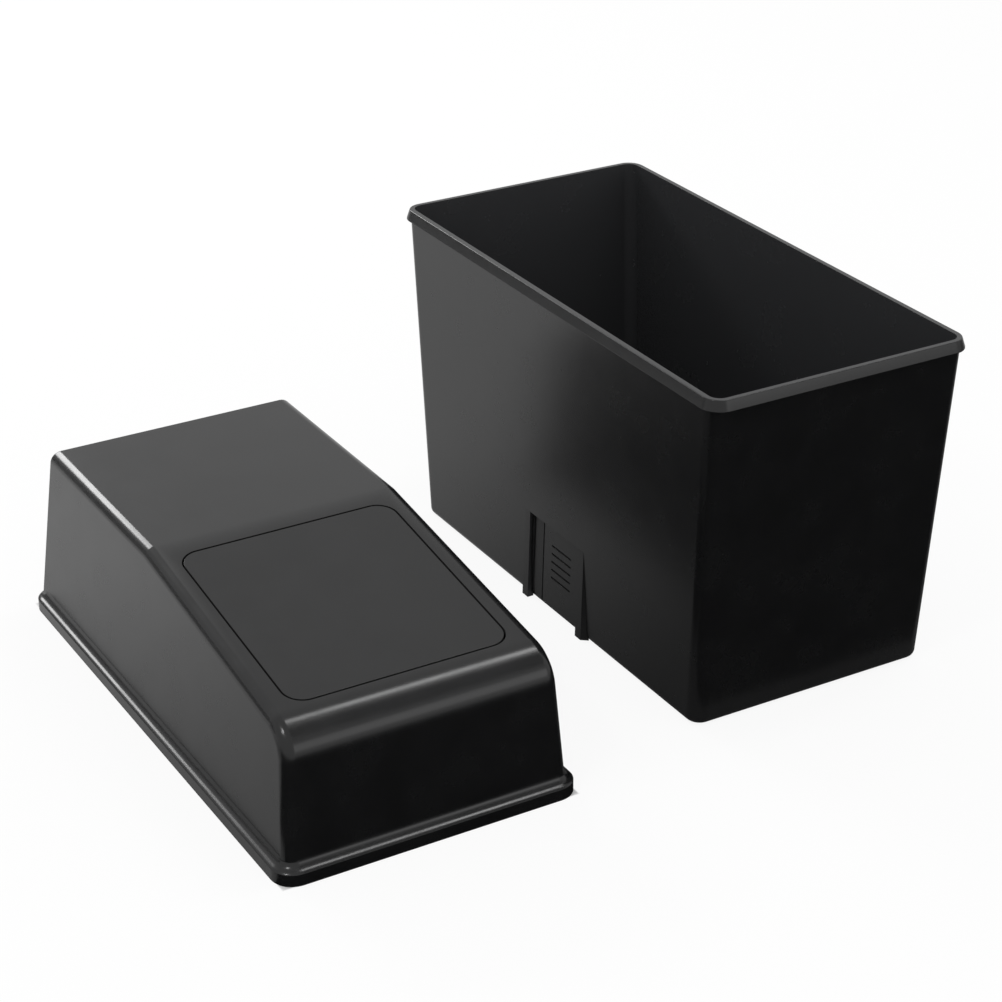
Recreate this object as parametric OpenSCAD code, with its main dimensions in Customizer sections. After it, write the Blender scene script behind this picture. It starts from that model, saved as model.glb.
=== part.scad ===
// Rectangular car trash bin with its lid taken off and set down beside it.
// The bin is an open drafted bucket with an outward rim, and a slide-in channel
// low on one long wall. The lid is a one-piece hood with a flat top at the far
// end and a gentle slope down to the near end. A flush swing flap sits in the
// slope and turns on two short pins, balanced by a steel bar in a keel below it.
// Frame: millimetres, origin at the centre of the bin's floor, +Z up,
// +X towards the low end of the lid, -Y towards the wall with the channel.

/* [Assembly] */
// Which sub-part to draw
// Swing of the flap from its closed place, in degrees (near end down is positive)
flap_angle = 0; // [0:1:60]
// How far the lid stands along the bin from the bin's centre
lid_shift_x = 4.8; // [-60:0.1:60]
// Free space between the bin's rim and the flange of the lid set beside it
lid_set_off = 65.5; // [20:0.5:200]

/* [Bin] */
// Length over the rim
rim_l = 275; // [200:0.5:380]
// Width over the rim
rim_w = 138.8; // [110:0.2:200]
// Height from the floor to the top of the rim
bin_h = 165.4; // [140:0.2:260]
// Height of the rim's outer band
rim_h = 5; // [4:0.1:8]
// How far the rim stands out from the wall below it
rim_out = 2.2; // [1.2:0.1:4]
// How far the rim's outer band leans in from its lower edge to its top
rim_lean_in = 1.4; // [0:0.1:1.7]
// Plan radius of the rim's corners
rim_corner_r = 9.6; // [7:0.1:16]
// How far each end wall draws in at the floor from the rim's outer edge
end_taper = 12.3; // [6:0.1:18]
// How far each long wall draws in at the floor from the rim's outer edge
side_taper = 5.4; // [4:0.1:12]
// Wall thickness
bin_wall = 2; // [1.6:0.1:3]
// Floor thickness
floor_t = 2.4; // [1.8:0.1:4]
// Radius of the rounded bottom edge
foot_edge_r = 3.5; // [2.5:0.1:5]

/* [Channel] */
// Left edge of the recess between the rails, from the bin's centre
channel_x = -17.3; // [-40:0.1:0]
// Clear width between the two rails
channel_w = 44; // [36:0.1:56]
// Height of the channel's top edge above the floor
channel_h = 46.5; // [36:0.1:60]
// Width of each rail's face
rail_w = 5; // [3:0.1:7]
// How far the rails stand out from the wall at the floor
rail_out = 2.3; // [1.4:0.1:3]
// Depth of the recessed panel behind the face of the rails
channel_depth = 2.7; // [2:0.1:3.2]
// Number of grip grooves in the recessed panel
groove_count = 5; // [3:1:7]
// Height spacing of the grip grooves
groove_pitch = 4.25; // [3.5:0.05:5]
// Length of each grip groove
groove_l = 17.5; // [10:0.5:24]
// Height of each grip groove
groove_h = 1; // [0.8:0.1:1.6]
// Depth of each grip groove
groove_depth = 1.1; // [0.6:0.1:1.3]
// Distance from the recess's left edge to the middle of the grooves
groove_in = 25.2; // [20:0.1:30]
// Height of the lowest groove above the floor
groove_z0 = 18; // [10:0.5:22]
// Width of the narrow ledge beside the left rail
ledge_step_w = 1.6; // [1:0.1:2.5]
// Width of the slanted strip beside that ledge
strip_w = 7.5; // [5:0.1:10]

/* [Lid] */
// How far the lid's flange reaches past the bin's rim on each side
flange_out = 2.1; // [1.9:0.1:4]
// Height of the flange's upright band
flange_h = 6.2; // [5.5:0.1:9]
// Width of the hollow-curved ledge between the band and the hood's wall
ledge_w = 4.2; // [3:0.1:7]
// Height of the hood's flat top above the ground
hood_h = 86.9; // [70:0.1:120]
// Slope of the hood towards its low end, in degrees
slope_deg = 8.1; // [6:0.1:12]
// Where the flat top turns into the slope, from the lid's centre
crease_x = -9.3; // [-30:0.1:10]
// Wall thickness of the lid
lid_wall = 2; // [1.6:0.1:2.6]
// Inward lean of the hood's high end wall, in degrees
draft_high_end = 10; // [4:0.1:14]
// Inward lean of the hood's low end wall, in degrees
draft_low_end = 4.3; // [2:0.1:10]
// Inward lean of the hood's side walls, in degrees
draft_side = 3.8; // [2:0.1:8]
// Radius of the hood's long top edges
top_edge_r = 5.6; // [4:0.1:9]
// Radius of the sharper edges of the high end wall
high_edge_r = 1.5; // [1:0.1:3]
// Radius of the rounded top edge at the low end
nose_r = 18.5; // [12:0.1:24]

/* [Flap] */
// Distance in plan from the rim's end to the flap's low end
flap_end_margin = 23.8; // [20:0.1:50]
// Distance from the rim's side to the flap's side
flap_side_margin = 17.9; // [17:0.1:34]
// Distance from the crease to the flap, along the slope
flap_from_crease = 11.3; // [9:0.1:20]
// Gap all round the flap
flap_gap = 0.9; // [0.7:0.1:1.5]
// Plan radius of the flap's corners
flap_corner_r = 9; // [5:0.1:14]
// Thickness of the flap's plate
flap_t = 2; // [1.6:0.1:2.6]
// Height of the flap from its face to the edge of its skirt
skirt_h = 7.4; // [6.6:0.1:9]
// Thickness of the flap's skirt
skirt_t = 1.6; // [1.2:0.1:2]

/* [Pivot] */
// Depth of the pivot below the flap's face
pivot_depth = 4.6; // [4.2:0.1:5.4]
// Diameter of the two hinge pins
pin_d = 3; // [2.5:0.1:4]
// Radial clearance of the pins in the hood's bearings
pin_clear = 0.06; // [0.04:0.01:0.1]
// Diameter of the counterweight bar
bar_d = 8; // [6:0.1:10]
// Distance from each side of the flap to the end of the counterweight bar
bar_set_in = 16.5; // [14:0.5:26]
// Depth of the bar's axis below the pivot, straight down
bar_drop = 13.5; // [11:0.1:18]
// Shift of the bar towards the high end, which keeps the flap shut against its tabs
bar_trim = 1.6; // [0.6:0.1:3]
// Width of each of the two stop tabs
tab_w = 12; // [8:0.5:16]
// Distance from each side of the flap to the nearer stop tab
tab_set_in = 13.5; // [12:0.5:22]
// Reach of the two stop tabs under the hood's skin
tab_reach = 3.5; // [2.5:0.1:5]
// Free height between a stop tab and the hood's skin
tab_gap = 0.3; // [0.2:0.05:0.6]

/* [Hidden] */
fine = 32;
round_fn = 48;
bore_fn = 64;
eps = 0.01;
black = [0.075, 0.077, 0.082];
steel = [0.62, 0.63, 0.65];
wall_l = rim_l - 2 * rim_out;
wall_w = rim_w - 2 * rim_out;
wall_corner_r = rim_corner_r - rim_out;
rim_edge_r = 0.5;
rim_foot_h = 0.4;
under_rim = bin_h - rim_h;
foot_l = rim_l - 2 * end_taper;
foot_w = rim_w - 2 * side_taper;
lean_y = (wall_w - foot_w) / 2 / under_rim;
flange_l = rim_l + 2 * flange_out;
flange_w = rim_w + 2 * flange_out;
flange_corner_r = rim_corner_r + 0.7;
lid_fit = 0.5;
lid_x = lid_shift_x;
lid_y = -(rim_w / 2 + lid_set_off + flange_w / 2);
hood_z0 = flange_h + 2.2;
hood_x0 = flange_l / 2 - ledge_w;
hood_y0 = flange_w / 2 - ledge_w;
band_bevel_in = 0.6;
band_bevel_h = 0.7;
cove_from = 4;
cove_to = 78;
cove_steps = 7;
cove_sink = 0.15;
cove_r = (ledge_w - band_bevel_in + cove_sink) / (cos(cove_from) - cos(cove_to));
rim_seat_z = flange_h - lid_wall;
slope_k = tan(slope_deg);
flap_l = (rim_l / 2 - flap_end_margin - crease_x) / cos(slope_deg) - flap_from_crease;
flap_w = rim_w - 2 * flap_side_margin;
face_x = crease_x + (flap_from_crease + flap_l / 2) * cos(slope_deg);
face_z = hood_h - slope_k * (face_x - crease_x);
rail_top_y = -(foot_w / 2 + lean_y * channel_h);
rail_foot_y = -(foot_w / 2 + rail_out);
rail_lean = atan((rail_top_y - rail_foot_y) / channel_h);
backing_out = 3;
boss_l = 5;
boss_set_back = 0.4;
pin_in_flap = 8;
pin_l = pin_in_flap + flap_gap + boss_set_back + boss_l - 0.4;
pin_start_y = flap_w / 2 - pin_in_flap;
pin_fit = 0.02;
keel_t = 2.4;
bar_l = flap_w - 2 * bar_set_in;
keel_l = bar_l - 6;
bar_x = bar_drop * sin(slope_deg) - bar_trim;
bar_z = -bar_drop * cos(slope_deg);
tab_t = 1.8;
tab_root = 6;

// Half-length or half-width of the hood's wall at height z
function hood_end_high(z) = hood_x0 - tan(draft_high_end) * (z - hood_z0);
function hood_end_low(z) = hood_x0 - tan(draft_low_end) * (z - hood_z0);
function hood_side(z) = hood_y0 - tan(draft_side) * (z - hood_z0);
function slope_z(x) = hood_h - slope_k * (x - crease_x);

// Centre of the nose's rounding: nose_r inside the slope and the low end wall
nose_a = 90 - slope_deg;
nose_n2 = [cos(draft_low_end), sin(draft_low_end)];
nose_b1 = sin(slope_deg) * crease_x + cos(slope_deg) * hood_h - nose_r;
nose_b2 = nose_n2[0] * hood_x0 + nose_n2[1] * hood_z0 - nose_r;
nose_det = sin(slope_deg) * nose_n2[1] - cos(slope_deg) * nose_n2[0];
nose_x = (nose_b1 * nose_n2[1] - cos(slope_deg) * nose_b2) / nose_det;
nose_z = (sin(slope_deg) * nose_b2 - nose_b1 * nose_n2[0]) / nose_det;

// Upright post with a rounded top edge, for the corners of a rim or band
module rounded_post(r, h, edge) {
  rotate_extrude($fn = fine)
    union() {
      square([r, h - edge]);
      square([r - edge, h]);
      translate([r - edge, h - edge])
        intersection() {
          circle(r = edge, $fn = fine);
          square([edge, edge]);
        }
    }
}

// Four copies of the children at the corners of a rectangle
module at_corners(x, y) {
  for (sx = [-1, 1])
    for (sy = [-1, 1])
      translate([sx * x, sy * y, 0])
        children();
}

// Flat rectangle with rounded corners, given by its full size
module rounded_rect(l, w, r) {
  hull()
    for (sx = [-1, 1])
      for (sy = [-1, 1])
        translate([sx * (l / 2 - r), sy * (w / 2 - r)])
          circle(r = r, $fn = round_fn);
}

// Drafted body of the bin, with its bottom edge rounded; inset shrinks it evenly
module bucket_form(inset, z0, z1, edge) {
  top_r = wall_corner_r - inset;
  k = (wall_l - foot_l) / 2 / under_rim;
  kx = k * z1;
  ky = lean_y * z1;
  hull() {
    at_corners(foot_l / 2 + k * z0 - inset - top_r, foot_w / 2 + lean_y * z0 - inset - top_r)
      translate([0, 0, z0 + edge])
        mirror([0, 0, 1])
          rounded_post(top_r, edge, edge - eps);
    at_corners(foot_l / 2 + kx - inset - top_r, foot_w / 2 + ky - inset - top_r)
      translate([0, 0, z1 - eps])
        cylinder(r = top_r, h = eps, $fn = fine);
  }
}

// Outward rim: a leaning band with a rounded top edge
module rim_band() {
  translate([0, 0, under_rim])
    hull()
      at_corners(rim_l / 2 - rim_corner_r, rim_w / 2 - rim_corner_r) {
        cylinder(r = rim_corner_r, h = rim_foot_h, $fn = fine);
        translate([0, 0, rim_h - 2 * rim_edge_r])
          rounded_post(rim_corner_r - rim_lean_in, 2 * rim_edge_r, rim_edge_r);
      }
}

// Upright prism along the wall: face at the rails' leaning plane, moved in by depth
module rail_prism(x0, x1, depth, back, z0, z1) {
  translate([x0, 0, 0])
    rotate([90, 0, 90])
      linear_extrude(x1 - x0)
        polygon([
          [rail_foot_y + depth + tan(rail_lean) * z0, z0],
          [rail_foot_y + depth + tan(rail_lean) * z1, z1],
          [back, z1],
          [back, z0]
        ]);
}

// Rail whose outer side flares from nothing at its top to the wall at the floor
module rail(x_in, side) {
  x_out = x_in + side * rail_w;
  flare = 2.6;
  inner_y = -(foot_w / 2 - 1);
  top_y = rail_top_y;
  polyhedron(
    points = [
      [x_in, rail_foot_y, 0],
      [x_out, rail_foot_y, 0],
      [x_out + side * flare, inner_y, 0],
      [x_in, inner_y, 0],
      [x_in, top_y, channel_h],
      [x_out - side * 0.2, top_y, channel_h],
      [x_out - side * 0.1, inner_y - lean_y * channel_h, channel_h],
      [x_in, inner_y - lean_y * channel_h, channel_h]
    ],
    faces = side > 0
      ? [[0, 1, 2, 3], [7, 6, 5, 4], [4, 5, 1, 0], [5, 6, 2, 1], [6, 7, 3, 2], [7, 4, 0, 3]]
      : [[3, 2, 1, 0], [4, 5, 6, 7], [0, 1, 5, 4], [1, 2, 6, 5], [2, 3, 7, 6], [3, 0, 4, 7]]
  );
}

module grip_grooves() {
  gx = channel_x + groove_in;
  for (i = [0 : groove_count - 1])
    translate([gx, rail_foot_y + channel_depth + tan(rail_lean) * (groove_z0 + i * groove_pitch), groove_z0 + i * groove_pitch])
      rotate([90, 0, 0])
        linear_extrude(2 * groove_depth, center = true)
          hull()
            for (s = [-1, 1])
              translate([s * (groove_l - groove_h) / 2, 0])
                circle(d = groove_h, $fn = 24);
}

// Solid added behind the recess, so the wall keeps its thickness there
module channel_backing() {
  mid = bin_wall * 0.6;
  behind = channel_depth + bin_wall + 0.2;
  translate([channel_x - backing_out, 0, 0])
    rotate([90, 0, 90])
      linear_extrude(channel_w + 2 * backing_out)
        polygon([
          [-(foot_w / 2 - mid), 0],
          [-(foot_w / 2 - mid) - lean_y * (channel_h + backing_out), channel_h + backing_out],
          [rail_top_y + behind, channel_h + 1],
          [rail_foot_y + behind, 0]
        ]);
}

module bin_body() {
  right_x = channel_x + channel_w;
  strip_x = channel_x + ledge_step_w;
  color(black)
    difference() {
      union() {
        bucket_form(0, 0, under_rim + 0.4, foot_edge_r);
        rim_band();
        rail(channel_x, -1);
        rail(right_x, 1);
      }
      difference() {
        bucket_form(bin_wall, floor_t, bin_h + 3, 2.2);
        channel_backing();
      }
      // narrow ledge beside the left rail, then the slanted strip, then the panel
      rail_prism(channel_x, right_x, channel_depth - 1.45, -foot_w, -1, channel_h);
      rail_prism(strip_x, right_x, channel_depth - 0.7, -foot_w, -1, channel_h);
      translate([strip_x, 0, 0])
        multmatrix([[1, 0, 0, 0], [0.4 / strip_w, 1, 0, 0], [0, 0, 1, 0]])
          rail_prism(0, strip_w, channel_depth - 0.7, -foot_w, -1, channel_h);
      rail_prism(strip_x + strip_w, right_x, channel_depth, -foot_w, -1, channel_h);
      grip_grooves();
    }
}

// The hood as a solid above z_low; inset shrinks it evenly for the hollow inside
module hood_form(inset, z_low) {
  edge = top_edge_r - inset;
  zt = hood_h - top_edge_r;
  high_r = max(high_edge_r - inset, 0.6);
  high_z = hood_h - inset - edge * cos(draft_high_end);
  crease_shift = top_edge_r * tan(slope_deg / 2);
  arc_r = nose_r - top_edge_r;
  arc_steps = 11;
  arc_from = draft_low_end;
  arc_to = 90 - slope_deg;
  intersection() {
    hull()
      for (sy = [-1, 1]) {
        // high end: sharper upright edges, and discs that end the long top edges in the wall's plane
        translate([-(hood_end_high(z_low) - inset - high_r), sy * (hood_side(z_low) - inset - high_r), z_low])
          sphere(r = high_r, $fn = fine);
        translate([inset / cos(draft_high_end) - hood_end_high(high_z), sy * (hood_side(zt) - top_edge_r), high_z])
          rotate([0, draft_high_end - 90, 0])
            translate([0, 0, -3])
              rounded_post(edge, 3, high_r);
        // low end: upright corners
        translate([hood_end_low(z_low) - top_edge_r, sy * (hood_side(z_low) - top_edge_r), z_low])
          sphere(r = edge, $fn = fine);
        // crease
        translate([crease_x - crease_shift, sy * (hood_side(zt) - top_edge_r), zt])
          sphere(r = edge, $fn = fine);
        // rounded nose at the low end
        for (i = [0 : arc_steps]) {
          a = arc_from + (arc_to - arc_from) * i / arc_steps;
          z = nose_z + arc_r * sin(a);
          translate([nose_x + arc_r * cos(a), sy * (hood_side(z) - top_edge_r), z])
            sphere(r = edge, $fn = fine);
        }
      }
    translate([-flange_l, -flange_w, z_low])
      cube([2 * flange_l, 2 * flange_w, 2 * hood_h]);
  }
}

// Outline of the flange's section: band, small bevel and a ledge that curves up to the hood's
// wall, which stands at distance d from the middle
function ledge_outline(d) = concat(
  [[d + ledge_w, 0], [d + ledge_w, flange_h - band_bevel_h]],
  [for (i = [0 : cove_steps])
    let (a = cove_to + (cove_from - cove_to) * i / cove_steps)
      [d - cove_sink + cove_r * (cos(cove_from) - cos(a)), flange_h + cove_r * (sin(cove_to) - sin(a))]]
);

// Straight run of the flange's two opposite sides
module flange_run(d, run) {
  side = ledge_outline(d);
  linear_extrude(run, center = true)
    polygon(concat(side, [for (i = [len(side) - 1 : -1 : 0]) [-side[i][0], side[i][1]]]));
}

module flange_form() {
  rotate([90, 0, 90])
    flange_run(hood_y0, flange_l - 2 * flange_corner_r);
  rotate([90, 0, 0])
    flange_run(hood_x0, flange_w - 2 * flange_corner_r);
  at_corners(flange_l / 2 - flange_corner_r, flange_w / 2 - flange_corner_r)
    rotate_extrude($fn = round_fn)
      polygon(concat(
        [[0, 0]],
        ledge_outline(flange_corner_r - ledge_w),
        [[0, flange_h + cove_r * (sin(cove_to) - sin(cove_from))]]
      ));
}

module at_flap() {
  translate([face_x, 0, face_z])
    rotate([0, slope_deg, 0])
      children();
}

// Bearing block beside the flap opening, hung from the hood's slope
module bearing_block(s) {
  y0 = flap_w / 2 + flap_gap + boss_set_back;
  translate([0, s * (y0 + boss_l / 2), -pivot_depth])
    rotate([90, 0, 0])
      linear_extrude(boss_l, center = true)
        union() {
          circle(d = pin_d + 5, $fn = round_fn);
          translate([-(pin_d + 5) / 2, 0])
            square([pin_d + 5, pivot_depth - 0.8]);
        }
}

module bearing_bore(s) {
  translate([0, s * (flap_w / 2 + flap_gap + boss_set_back + boss_l / 2), -pivot_depth])
    rotate([90, 0, 0])
      cylinder(d = pin_d + 2 * pin_clear, h = boss_l + 1, center = true, $fn = bore_fn);
}

// The lip drops inside the bin's mouth and keeps the lid from sliding
module lid_hood() {
  lip_l = rim_l - 2 * (rim_out + bin_wall) - 1.4;
  lip_w = rim_w - 2 * (rim_out + bin_wall) - 1.4;
  lip_r = wall_corner_r - bin_wall - 0.7;
  color(black)
    translate([lid_x, lid_y, 0])
      difference() {
        union() {
          flange_form();
          hood_form(0, hood_z0 - 1.4);
        }
        // seat for the bin's rim, around the locating lip
        translate([0, 0, -1])
          linear_extrude(rim_seat_z + 1)
            difference() {
              rounded_rect(rim_l + 2 * lid_fit, rim_w + 2 * lid_fit, rim_corner_r + lid_fit);
              rounded_rect(lip_l, lip_w, lip_r);
            }
        // mouth inside the lip
        translate([0, 0, -1])
          linear_extrude(flange_h + 2)
            rounded_rect(lip_l - 3.2, lip_w - 3.2, lip_r - 1.6);
        // hollow of the hood, around the two bearing blocks
        difference() {
          hood_form(lid_wall, flange_h + 0.3);
          at_flap()
            for (s = [-1, 1])
              bearing_block(s);
        }
        at_flap()
          translate([0, 0, -2 * pivot_depth])
            linear_extrude(3 * pivot_depth)
              rounded_rect(flap_l + 2 * flap_gap, flap_w + 2 * flap_gap, flap_corner_r + flap_gap);
        at_flap()
          for (s = [-1, 1])
            bearing_bore(s);
      }
}

// Everything that swings is drawn about the pivot's own axis
module at_pivot() {
  translate([lid_x, lid_y, 0])
    at_flap()
      translate([0, 0, -pivot_depth])
        rotate([0, flap_angle, 0])
          children();
}

module swing_flap() {
  tab_y = flap_w / 2 - tab_set_in - tab_w / 2;
  tab_z = pivot_depth - lid_wall - tab_gap - tab_t;
  color(black)
    at_pivot()
      difference() {
        union() {
          translate([0, 0, pivot_depth - flap_t])
            linear_extrude(flap_t)
              rounded_rect(flap_l, flap_w, flap_corner_r);
          translate([0, 0, pivot_depth - skirt_h])
            linear_extrude(skirt_h - eps)
              difference() {
                rounded_rect(flap_l, flap_w, flap_corner_r);
                rounded_rect(flap_l - 2 * skirt_t, flap_w - 2 * skirt_t, flap_corner_r - skirt_t);
              }
          // pin bosses inside the skirt
          for (s = [-1, 1])
            translate([0, s * (flap_w / 2 - (pin_in_flap + 1.5) / 2 - 0.2), 0])
              rotate([90, 0, 0])
                linear_extrude(pin_in_flap + 1.5, center = true)
                  union() {
                    circle(d = pin_d + 3.6, $fn = round_fn);
                    translate([-(pin_d + 3.6) / 2, 0])
                      square([pin_d + 3.6, pivot_depth - 1]);
                  }
          // stop tabs at the low end, which catch under the hood's skin
          for (s = [-1, 1])
            translate([flap_l / 2 - tab_root, s * tab_y - tab_w / 2, tab_z])
              cube([tab_root + flap_gap + tab_reach, tab_w, tab_t]);
          // keel that carries the counterweight
          rotate([90, 0, 0])
            linear_extrude(keel_l, center = true)
              union() {
                polygon([
                  [-keel_t, pivot_depth - 1],
                  [keel_t, pivot_depth - 1],
                  [bar_x + keel_t / 2, bar_z],
                  [bar_x - keel_t / 2, bar_z]
                ]);
                translate([bar_x, bar_z])
                  circle(d = bar_d + 4, $fn = round_fn);
              }
        }
        translate([bar_x, 0, bar_z])
          rotate([90, 0, 0])
            cylinder(d = bar_d + 2 * pin_fit, h = bar_l + 4, center = true, $fn = bore_fn);
        for (s = [-1, 1])
          translate([0, s * (flap_w / 2 - pin_in_flap / 2 + 1), 0])
            rotate([90, 0, 0])
              cylinder(d = pin_d + 2 * pin_fit, h = pin_in_flap + 2, center = true, $fn = bore_fn);
      }
}

module hinge_pins() {
  color(steel)
    at_pivot()
      for (s = [-1, 1])
        translate([0, s * (pin_start_y + pin_l / 2), 0])
          rotate([90, 0, 0])
            cylinder(d = pin_d, h = pin_l, center = true, $fn = bore_fn);
}

module counterweight_bar() {
  color(steel)
    at_pivot()
      translate([bar_x, 0, bar_z])
        rotate([90, 0, 0])
          cylinder(d = bar_d, h = bar_l, center = true, $fn = bore_fn);
}

bin_body();
lid_hood();
swing_flap();
hinge_pins();
counterweight_bar();
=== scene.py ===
"""Looks of a black moulded trash bin for a car and of its lid, which stands beside it.

Metres throughout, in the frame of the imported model: origin at the centre of the bin's floor, +Z up,
+X towards the low end of the lid, -Y towards the long wall with the slide-in channel.
"""
import math

import bmesh
import bpy
from mathutils import Matrix, Vector


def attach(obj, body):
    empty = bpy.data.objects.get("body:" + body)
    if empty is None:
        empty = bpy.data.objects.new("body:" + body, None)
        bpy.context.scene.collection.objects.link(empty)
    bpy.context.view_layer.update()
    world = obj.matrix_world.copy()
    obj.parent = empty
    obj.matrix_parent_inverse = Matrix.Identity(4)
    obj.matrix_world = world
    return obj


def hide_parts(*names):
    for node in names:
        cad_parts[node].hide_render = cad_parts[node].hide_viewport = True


MM = 0.001

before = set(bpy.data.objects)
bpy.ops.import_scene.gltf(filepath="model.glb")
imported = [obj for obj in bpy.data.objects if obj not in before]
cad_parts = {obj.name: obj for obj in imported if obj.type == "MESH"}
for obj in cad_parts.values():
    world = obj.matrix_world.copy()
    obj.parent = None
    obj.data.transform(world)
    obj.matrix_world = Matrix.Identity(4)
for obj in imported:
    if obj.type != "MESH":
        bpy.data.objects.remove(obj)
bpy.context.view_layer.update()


# Camera
# Place and turn found by matching the bin's and the lid's edges with the photograph
EYE = Vector((0.92233, -0.6259, 0.60667))
CAMERA_AZIMUTH = 59.887
CAMERA_ELEVATION = 26.87
CAMERA_ROLL = -0.118
SENSOR = 36.0
FOCAL = 91.5
FRAME = 1002


def direction(azimuth, elevation):
    """Unit vector towards a place round the object: azimuth 0 is on the -Y side, 90 on the +X side."""
    a, e = math.radians(azimuth), math.radians(elevation)
    return Vector((math.sin(a) * math.cos(e), -math.cos(a) * math.cos(e), math.sin(e)))


def add_camera():
    back = direction(CAMERA_AZIMUTH, CAMERA_ELEVATION)
    right = direction(CAMERA_AZIMUTH + 90, 0)
    up = back.cross(right)
    turn = Matrix.Rotation(math.radians(CAMERA_ROLL), 3, "Z")
    data = bpy.data.cameras.new("camera")
    data.sensor_width = SENSOR
    data.lens = FOCAL
    data.shift_x = -0.6 / FRAME
    data.shift_y = 0.4 / FRAME
    data.clip_start = 0.05
    data.clip_end = 60
    camera = bpy.data.objects.new("camera", data)
    axes = Matrix((right, up, back)).transposed() @ turn
    camera.matrix_world = Matrix.Translation(EYE) @ axes.to_4x4()
    bpy.context.scene.collection.objects.link(camera)
    bpy.context.scene.camera = camera


# Materials
# Colour of the black plastic, and how much paler the bin's inside is painted: painted light standing in
# for the light the inside catches
SHADE = (0.0052, 0.0053, 0.0056)
INSIDE_PAINTED_LIGHT = 5.6
TONE_DARK = 0.86
TONE_LIGHT = 1.14
PLASTIC_IOR = 1.49
# Size of one grain; share of the grain on the end walls; how far a face may lean before it is smooth
GRAIN_SIZE = 0.8 * MM
END_WALL_GRAIN = 0.3
UPRIGHT_LIMIT = 0.18
LEVEL_LIMIT = 0.45
# Slow waves of the moulding and the spread they give the gloss
WAVE_LENGTH = 60 * MM
WAVE_HEIGHT = 0.012 * MM
CLOUD_ROUGHNESS = 0.035
# Reach of the painted shade in grooves and gaps, where the colour goes near black and the gloss rough,
# and its look
CAVITY_SIZE = 2.0 * MM
CAVITY_SHUT = 0.42
CAVITY_OPEN = 0.78
CAVITY_ROUGHNESS = 0.95
CAVITY_PAINTED_SHADE = (0.0008, 0.0008, 0.0008, 1.0)
# Heights between which the lid's ledge is polished
LEDGE_LOW = 5.5 * MM
LEDGE_HIGH = 10.5 * MM
LEDGE_FADE = 0.4 * MM
DRAWN_LINES = 5200.0
STEEL_PATCHES = 260.0


class Nodes:
    """A node tree with short calls to add nodes and join their sockets."""

    def __init__(self, tree):
        self.tree = tree

    def add(self, kind, **settings):
        node = self.tree.nodes.new(kind)
        for name, value in settings.items():
            setattr(node, name, value)
        return node

    def join(self, source, target):
        self.tree.links.new(source, target)

    def put(self, value, target):
        """Joins a socket, or sets a constant."""
        if isinstance(value, bpy.types.NodeSocket):
            self.join(value, target)
        else:
            target.default_value = value

    def math(self, operation, a, b=0.0, clamp=False):
        node = self.add("ShaderNodeMath", operation=operation, use_clamp=clamp)
        self.put(a, node.inputs[0])
        self.put(b, node.inputs[1])
        return node.outputs[0]

    def map_range(self, value, from_low, from_high, to_low=0.0, to_high=1.0):
        node = self.add("ShaderNodeMapRange", interpolation_type="SMOOTHSTEP")
        for put, name in zip(
            (value, from_low, from_high, to_low, to_high),
            ("Value", "From Min", "From Max", "To Min", "To Max"),
        ):
            self.put(put, node.inputs[name])
        return node.outputs["Result"]

    def noise(self, vector, scale, detail=2.0, roughness=0.5):
        node = self.add("ShaderNodeTexNoise")
        self.join(vector, node.inputs["Vector"])
        self.put(scale, node.inputs["Scale"])
        node.inputs["Detail"].default_value = detail
        node.inputs["Roughness"].default_value = roughness
        return node.outputs["Fac"]

    def split(self, vector):
        """The vector's X, Y and Z."""
        node = self.add("ShaderNodeSeparateXYZ")
        self.join(vector, node.inputs[0])
        return node.outputs

    def bump(self, height, distance, shader):
        node = self.add("ShaderNodeBump")
        node.inputs["Distance"].default_value = distance
        self.join(height, node.inputs["Height"])
        self.join(node.outputs["Normal"], shader.inputs["Normal"])

    def mix_colour(self, share, a, b):
        node = self.add("ShaderNodeMix", data_type="RGBA")
        self.put(share, node.inputs["Factor"])
        self.put(a, node.inputs["A"])
        self.put(b, node.inputs["B"])
        return node.outputs["Result"]


def new_group(name, inputs, outputs):
    """An empty shader group. inputs: {name: (type, default)}; outputs: {name: type}."""
    tree = bpy.data.node_groups.new(name, "ShaderNodeTree")
    for label, (kind, value) in inputs.items():
        socket = tree.interface.new_socket(label, in_out="INPUT", socket_type="NodeSocket" + kind)
        if value is not None:
            socket.default_value = value
    for label, kind in outputs.items():
        tree.interface.new_socket(label, in_out="OUTPUT", socket_type="NodeSocket" + kind)
    nodes = Nodes(tree)
    return tree, nodes, nodes.add("NodeGroupInput").outputs, nodes.add("NodeGroupOutput").inputs


def mould_grain_group():
    """Fine eroded grain of a mould's texture, as a height in metres and a mask of its pits."""
    tree, n, given, out = new_group(
        "mould_grain",
        {"Vector": ("Vector", None), "Grain Size": ("Float", 0.0004), "Depth": ("Float", 0.00002)},
        {"Height": "Float", "Pits": "Float"},
    )
    scale = n.math("DIVIDE", 1.0, given["Grain Size"])
    cells = n.add("ShaderNodeTexVoronoi", feature="SMOOTH_F1")
    n.join(given["Vector"], cells.inputs["Vector"])
    n.join(scale, cells.inputs["Scale"])
    cells.inputs["Smoothness"].default_value = 0.7
    rough = n.noise(given["Vector"], n.math("MULTIPLY", scale, 0.45), detail=3.0, roughness=0.6)
    pebbles = n.math("MULTIPLY", cells.outputs["Distance"], 0.6)
    mixed = n.math("ADD", pebbles, n.math("MULTIPLY", rough, 0.7))
    n.join(n.math("MULTIPLY", mixed, given["Depth"]), out["Height"])
    n.join(n.map_range(mixed, 0.35, 0.8), out["Pits"])
    return tree


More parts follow.
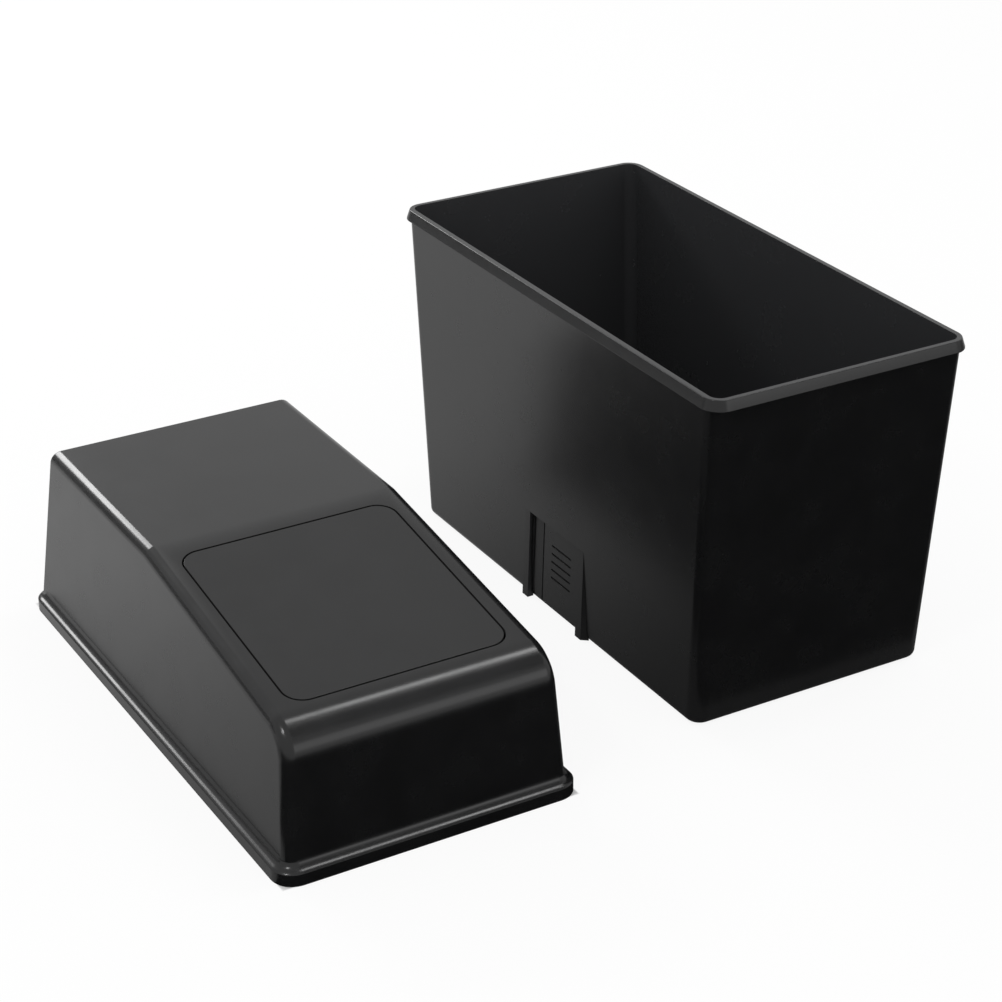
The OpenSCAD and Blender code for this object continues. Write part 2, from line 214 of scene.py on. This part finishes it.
def flow_group():
    """Slow waves and cloudy sheen that moulding leaves on a broad face."""
    tree, n, given, out = new_group(
        "mould_flow",
        {"Vector": ("Vector", None), "Wave Length": ("Float", 0.05), "Wave Height": ("Float", 0.00004)},
        {"Height": "Float", "Sheen": "Float"},
    )
    scale = n.math("DIVIDE", 1.0, given["Wave Length"])
    wave = n.noise(given["Vector"], scale, detail=1.0)
    cloud = n.noise(given["Vector"], n.math("MULTIPLY", scale, 3.1), detail=4.0, roughness=0.55)
    n.join(n.math("MULTIPLY", wave, given["Wave Height"]), out["Height"])
    n.join(n.map_range(cloud, 0.3, 0.7), out["Sheen"])
    return tree


GRAIN = mould_grain_group()
FLOW = flow_group()


def use_group(n, tree, **values):
    node = n.add("ShaderNodeGroup", node_tree=tree)
    for name, value in values.items():
        n.put(value, node.inputs[name.replace("_", " ")])
    return node.outputs


def material_base(name):
    """A material with its Principled shader, its Object coordinates and normals."""
    material = bpy.data.materials.new(name)
    material.use_nodes = True
    n = Nodes(material.node_tree)
    shader = next(x for x in material.node_tree.nodes if x.type == "BSDF_PRINCIPLED")
    place = n.add("ShaderNodeTexCoord")
    return material, n, shader, place.outputs["Object"], place.outputs["Normal"]


def facing_out(n, place, normal):
    """Positive where a wall faces away from the bin's upright middle axis, negative inside it."""
    level = n.add("ShaderNodeVectorMath", operation="MULTIPLY")
    n.join(place, level.inputs[0])
    level.inputs[1].default_value = (1.0, 1.0, 0.0)
    dot = n.add("ShaderNodeVectorMath", operation="DOT_PRODUCT")
    n.join(level.outputs[0], dot.inputs[0])
    n.join(normal, dot.inputs[1])
    return dot.outputs["Value"]


def wall_share(n, place, turn, flat, has_ledge):
    """Share of the grain: full on long walls, faint on end walls, none on level faces and the ledge."""
    long_wall = n.map_range(n.math("ABSOLUTE", turn["Y"]), 0.5, 0.9, END_WALL_GRAIN, 1.0)
    share = n.math("MULTIPLY", n.math("SUBTRACT", 1.0, flat), long_wall)
    if not has_ledge:
        return share
    height = n.split(place)["Z"]
    below = n.map_range(height, LEDGE_LOW - LEDGE_FADE, LEDGE_LOW, 1.0, 0.0)
    above = n.map_range(height, LEDGE_HIGH, LEDGE_HIGH + LEDGE_FADE)
    return n.math("MULTIPLY", share, n.math("ADD", below, above))


def cavity_mask(n):
    """0 deep in a groove or gap, 1 on open faces."""
    cavity = n.add("ShaderNodeAmbientOcclusion", samples=6)
    cavity.inputs["Distance"].default_value = CAVITY_SIZE
    return n.map_range(cavity.outputs["AO"], CAVITY_SHUT, CAVITY_OPEN)


def scaled_shade(factor):
    return tuple(channel * factor for channel in SHADE) + (1.0,)


def black_plastic(name, side_roughness, top_roughness, grain_depth, paints_inside_light=False, has_ledge=False):
    """Black polypropylene: grained on upright faces, smooth satin on faces that look up or down."""
    material, n, shader, place, normal = material_base(name)
    turn = n.split(normal)
    flat = n.map_range(n.math("ABSOLUTE", turn["Z"]), UPRIGHT_LIMIT, LEVEL_LIMIT)
    grain = use_group(n, GRAIN, Vector=place, Grain_Size=GRAIN_SIZE, Depth=grain_depth)
    flow = use_group(n, FLOW, Vector=place, Wave_Length=WAVE_LENGTH, Wave_Height=WAVE_HEIGHT)
    grain_share = wall_share(n, place, turn, flat, has_ledge)
    height = n.math("ADD", n.math("MULTIPLY", grain["Height"], grain_share), flow["Height"])
    n.bump(height, 1.0, shader)

    base_roughness = n.map_range(flat, 0.0, 1.0, side_roughness, top_roughness)
    cloud = n.math("MULTIPLY", n.math("SUBTRACT", flow["Sheen"], 0.5), CLOUD_ROUGHNESS)
    satin = n.math("ADD", base_roughness, cloud)
    open_share = cavity_mask(n)
    n.join(n.map_range(open_share, 0.0, 1.0, CAVITY_ROUGHNESS, satin), shader.inputs["Roughness"])

    dark = scaled_shade(TONE_DARK)
    tone = n.mix_colour(flow["Sheen"], dark, scaled_shade(TONE_LIGHT))
    tone = n.mix_colour(n.math("MULTIPLY", grain["Pits"], grain_share), tone, dark)
    if paints_inside_light:
        # painted light: walls that face the bin's middle axis get a paler copy of the colour
        inside = n.map_range(facing_out(n, place, normal), -0.01, 0.01, 1.0, 0.0)
        tone = n.mix_colour(inside, tone, scaled_shade(INSIDE_PAINTED_LIGHT))
    # painted shade: deep in grooves and gaps the colour goes near black
    n.join(n.mix_colour(open_share, CAVITY_PAINTED_SHADE, tone), shader.inputs["Base Color"])
    shader.inputs["IOR"].default_value = PLASTIC_IOR
    return material


def drawn_steel(name):
    """Bright drawn steel with fine lines along its length, which runs along Y."""
    material, n, shader, place, _ = material_base(name)
    along = n.add("ShaderNodeMapping")
    along.inputs["Scale"].default_value = (1.0, 0.03, 1.0)
    n.join(place, along.inputs["Vector"])
    lines = n.noise(along.outputs["Vector"], DRAWN_LINES, detail=3.0)
    patches = n.noise(place, STEEL_PATCHES, detail=3.0)
    n.join(n.map_range(lines, 0.3, 0.7, 0.24, 0.38), shader.inputs["Roughness"])
    tone = n.mix_colour(patches, (0.5, 0.51, 0.53, 1.0), (0.64, 0.65, 0.66, 1.0))
    n.join(tone, shader.inputs["Base Color"])
    n.bump(lines, 0.01 * MM, shader)
    shader.inputs["Metallic"].default_value = 1.0
    return material


# Pieces
# Edges that turn more than EDGE_ANGLE are broken; points nearer than MERGE become one, and faces
# that turn less than FLAT become one
EDGE_ANGLE = math.radians(38)
MERGE = 0.002 * MM
FLAT = math.radians(0.4)


def finished_piece(node, name, body, material, edge_radius):
    """A copy of a CAD node with merged points, broken edges and even shading, which stands for it."""
    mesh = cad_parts[node].data.copy()
    mesh.name = name
    mesh.materials.clear()
    mesh.materials.append(material)
    bm = bmesh.new()
    bm.from_mesh(mesh)
    bmesh.ops.remove_doubles(bm, verts=bm.verts, dist=MERGE)
    bmesh.ops.dissolve_limit(
        bm, angle_limit=FLAT, verts=bm.verts, edges=bm.edges, use_dissolve_boundaries=False
    )
    for face in bm.faces:
        face.smooth = True
        face.material_index = 0
    bm.to_mesh(mesh)
    bm.free()
    piece = bpy.data.objects.new(name, mesh)
    bpy.context.scene.collection.objects.link(piece)
    broken = piece.modifiers.new("broken_edges", "BEVEL")
    broken.width = edge_radius
    broken.segments = 2
    broken.limit_method = "ANGLE"
    broken.angle_limit = EDGE_ANGLE
    broken.use_clamp_overlap = True
    even = piece.modifiers.new("even_shading", "WEIGHTED_NORMAL")
    even.keep_sharp = True
    even.weight = 60
    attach(piece, body)
    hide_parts(node)
    return piece


# Room
# Point between bin and lid that the lamps and cards face
AIM = Vector((0.0, -0.1, 0.07))
# Share of plain white in the floor to the camera; strength of floor and backdrop in gloss and as fill
FLOOR_SIZE = 8.0
WHITE_SHARE = 0.9
FLOOR_GLOSS = 0.83
BACKDROP_GLOSS = 0.75
BACKDROP_FILL = 0.84
# Dark cards on the floor, seen only in gloss, as painted shade of the floor in the end walls'
# reflections: name, where they start along X, and their two ends along Y
CARD_LENGTH = 1.4
CARDS = (("dark_card_end", 0.137, -0.305, 1.1), ("dark_card_corner", 0.095, -1.1, -0.305))
# Floor under the lid
LID_MIDDLE = (4.8 * MM, -206.4 * MM)
LID_HALF = (139.0 * MM, 71.0 * MM)
# Upright flag beside the lid
FLAG_AZIMUTH = -60
FLAG_DISTANCE = 1.7
FLAG_LENGTH = 2.6
FLAG_TOP = 0.55
FLAG_SHADE = 0.36
# Grey card behind: azimuth, elevation, distance, length, width, shade
GREY_CARD = (133, 50, 2.0, 1.15, 0.9, 0.5)
DARK_SHADE = 0.01


def add_floor():
    """Plain pale floor, shown white to the camera, on which the object's soft shadow stays."""
    bpy.ops.mesh.primitive_plane_add(size=FLOOR_SIZE, location=(0, 0, -0.2 * MM))
    floor = bpy.context.object
    floor.name = "floor"
    material = bpy.data.materials.new("pale_floor")
    material.use_nodes = True
    n = Nodes(material.node_tree)
    paint = next(x for x in material.node_tree.nodes if x.type == "BSDF_PRINCIPLED")
    paint.inputs["Base Color"].default_value = (0.8, 0.8, 0.8, 1.0)
    paint.inputs["Roughness"].default_value = 0.9
    paint.inputs["Specular IOR Level"].default_value = 0.0
    white = n.add("ShaderNodeEmission")
    ray = n.add("ShaderNodeLightPath")
    # painted shade: to gloss the floor glows dimmer towards +X and towards +Y, near the bin
    where = n.split(n.add("ShaderNodeTexCoord").outputs["Object"])
    pale = n.map_range(where["Y"], -0.33, -0.14, FLOOR_GLOSS, 0.8 * FLOOR_GLOSS)
    painted_floor_shade = n.map_range(where["Y"], -0.3, -0.15, 0.38, 0.06)
    level = n.map_range(where["X"], -0.24, 0.12, pale, painted_floor_shade)
    n.join(n.math("MAXIMUM", ray.outputs["Is Camera Ray"], level), white.inputs["Strength"])
    seen = n.math("MAXIMUM", ray.outputs["Is Camera Ray"], ray.outputs["Is Glossy Ray"])
    # the floor under the lid keeps its full shade, seen through the flap's opening
    past_end = n.math("ABSOLUTE", n.math("SUBTRACT", where["X"], LID_MIDDLE[0]))
    past_side = n.math("ABSOLUTE", n.math("SUBTRACT", where["Y"], LID_MIDDLE[1]))
    open_end = n.map_range(past_end, LID_HALF[0] - MM, LID_HALF[0])
    open_side = n.map_range(past_side, LID_HALF[1] - MM, LID_HALF[1])
    open_floor = n.math("MAXIMUM", open_end, open_side)
    mix = n.add("ShaderNodeMixShader")
    white_share = n.math("MULTIPLY", n.math("MULTIPLY", seen, WHITE_SHARE), open_floor)
    n.join(white_share, mix.inputs["Fac"])
    n.join(paint.outputs[0], mix.inputs[1])
    n.join(white.outputs[0], mix.inputs[2])
    output = next(x for x in material.node_tree.nodes if x.type == "OUTPUT_MATERIAL")
    n.join(mix.outputs[0], output.inputs["Surface"])
    floor.data.materials.append(material)


def light_backdrop():
    """White all round to the camera and in gloss, and a low fill for the rest."""
    world = bpy.data.worlds.new("backdrop")
    bpy.context.scene.world = world
    world.use_nodes = True
    n = Nodes(world.node_tree)
    sky = next(x for x in world.node_tree.nodes if x.type == "BACKGROUND")
    ray = n.add("ShaderNodeLightPath")
    seen = n.math("MAXIMUM", ray.outputs["Is Camera Ray"], ray.outputs["Is Transmission Ray"])
    gloss = n.math("MULTIPLY", ray.outputs["Is Glossy Ray"], BACKDROP_GLOSS - BACKDROP_FILL)
    strength = n.math("MAXIMUM", seen, n.math("ADD", gloss, BACKDROP_FILL))
    n.join(strength, sky.inputs["Strength"])
    sky.inputs["Color"].default_value = (1.0, 1.0, 1.0, 1.0)


def black_felt_plane(name, length, width, shade):
    """Matt dark card that only gloss sees, so that it darkens a reflection and shades nothing."""
    bpy.ops.mesh.primitive_plane_add(size=1.0)
    card = bpy.context.object
    card.name = name
    card.data.transform(Matrix.Diagonal((length, width, 1.0, 1.0)))
    material = bpy.data.materials.new(name)
    material.use_nodes = True
    shader = next(x for x in material.node_tree.nodes if x.type == "BSDF_PRINCIPLED")
    shader.inputs["Base Color"].default_value = (shade, shade, shade, 1.0)
    shader.inputs["Roughness"].default_value = 1.0
    shader.inputs["Specular IOR Level"].default_value = 0.0
    card.data.materials.append(material)
    card.visible_camera = False
    card.visible_diffuse = False
    card.visible_shadow = False
    return card


def add_dark_cards():
    """Gloss-only sheets that darken reflections: two on the floor keep the end walls black as painted
    shade of the floor, one stands beside the lid, a grey one hangs behind.
    """
    for name, start_x, low_y, high_y in CARDS:
        ground = black_felt_plane(name, CARD_LENGTH, high_y - low_y, DARK_SHADE)
        middle = (start_x + CARD_LENGTH / 2, (low_y + high_y) / 2, -0.1 * MM)
        ground.data.transform(Matrix.Translation(middle))
    flag = black_felt_plane("dark_flag", FLAG_LENGTH, FLAG_TOP, FLAG_SHADE)
    towards = direction(FLAG_AZIMUTH, 0)
    axes = Matrix((direction(FLAG_AZIMUTH + 90, 0), Vector((0, 0, 1)), towards))
    upright = axes.transposed().to_4x4()
    foot = AIM * Vector((1, 1, 0)) + towards * FLAG_DISTANCE
    flag.data.transform(Matrix.Translation(foot + Vector((0, 0, FLAG_TOP / 2))) @ upright)
    azimuth, elevation, distance, length, width, shade = GREY_CARD
    hanging = black_felt_plane("grey_card", length, width, shade)
    towards = direction(azimuth, elevation)
    turn = towards.to_track_quat("Z", "Y").to_matrix().to_4x4()
    hanging.data.transform(Matrix.Translation(AIM + towards * distance) @ turn)


def softbox(name, azimuth, elevation, distance, width, height, power):
    """A rectangular lamp that looks at the object."""
    data = bpy.data.lights.new(name, "AREA")
    data.shape = "RECTANGLE"
    data.size = width
    data.size_y = height
    data.energy = power
    lamp = bpy.data.objects.new(name, data)
    towards = direction(azimuth, elevation)
    lamp.location = AIM + towards * distance
    lamp.rotation_mode = "QUATERNION"
    lamp.rotation_quaternion = towards.to_track_quat("Z", "Y")
    bpy.context.scene.collection.objects.link(lamp)


# Lamps: name, azimuth, elevation, distance, width, height, power
LAMPS = (
    ("key", -80.5, 28.5, 1.73, 0.8, 0.34, 9.5),
    ("front_spot", 24, 50, 1.6, 0.2, 0.2, 3.0),
    ("overhead_strip", 172, 66, 1.6, 0.22, 0.6, 3.6),
    ("low_back", 115, 17, 1.6, 0.9, 0.5, 1.4),
)


bpy.context.scene.view_settings.view_transform = "Standard"
add_camera()
light_backdrop()
add_floor()
add_dark_cards()
for lamp in LAMPS:
    softbox(*lamp)

# Plastics: name, roughness of upright and of level faces, depth of the grain
BIN_PLASTIC = black_plastic("bin_black_plastic", 0.26, 0.24, 0.02 * MM, paints_inside_light=True)
LID_PLASTIC = black_plastic("lid_black_plastic", 0.26, 0.22, 0.02 * MM, has_ledge=True)
FLAP_PLASTIC = black_plastic("flap_black_plastic", 0.26, 0.24, 0.012 * MM)
STEEL = drawn_steel("drawn_steel")

finished_piece("bin_body", "trash_bin", "bin_and_lid", BIN_PLASTIC, 0.25 * MM)
finished_piece("lid_hood", "lid_shell", "bin_and_lid", LID_PLASTIC, 0.25 * MM)
finished_piece("swing_flap", "lid_flap", "flap", FLAP_PLASTIC, 0.3 * MM)
finished_piece("hinge_pins", "flap_pins", "flap", STEEL, 0.2 * MM)
finished_piece("counterweight_bar", "flap_weight", "flap", STEEL, 0.4 * MM)
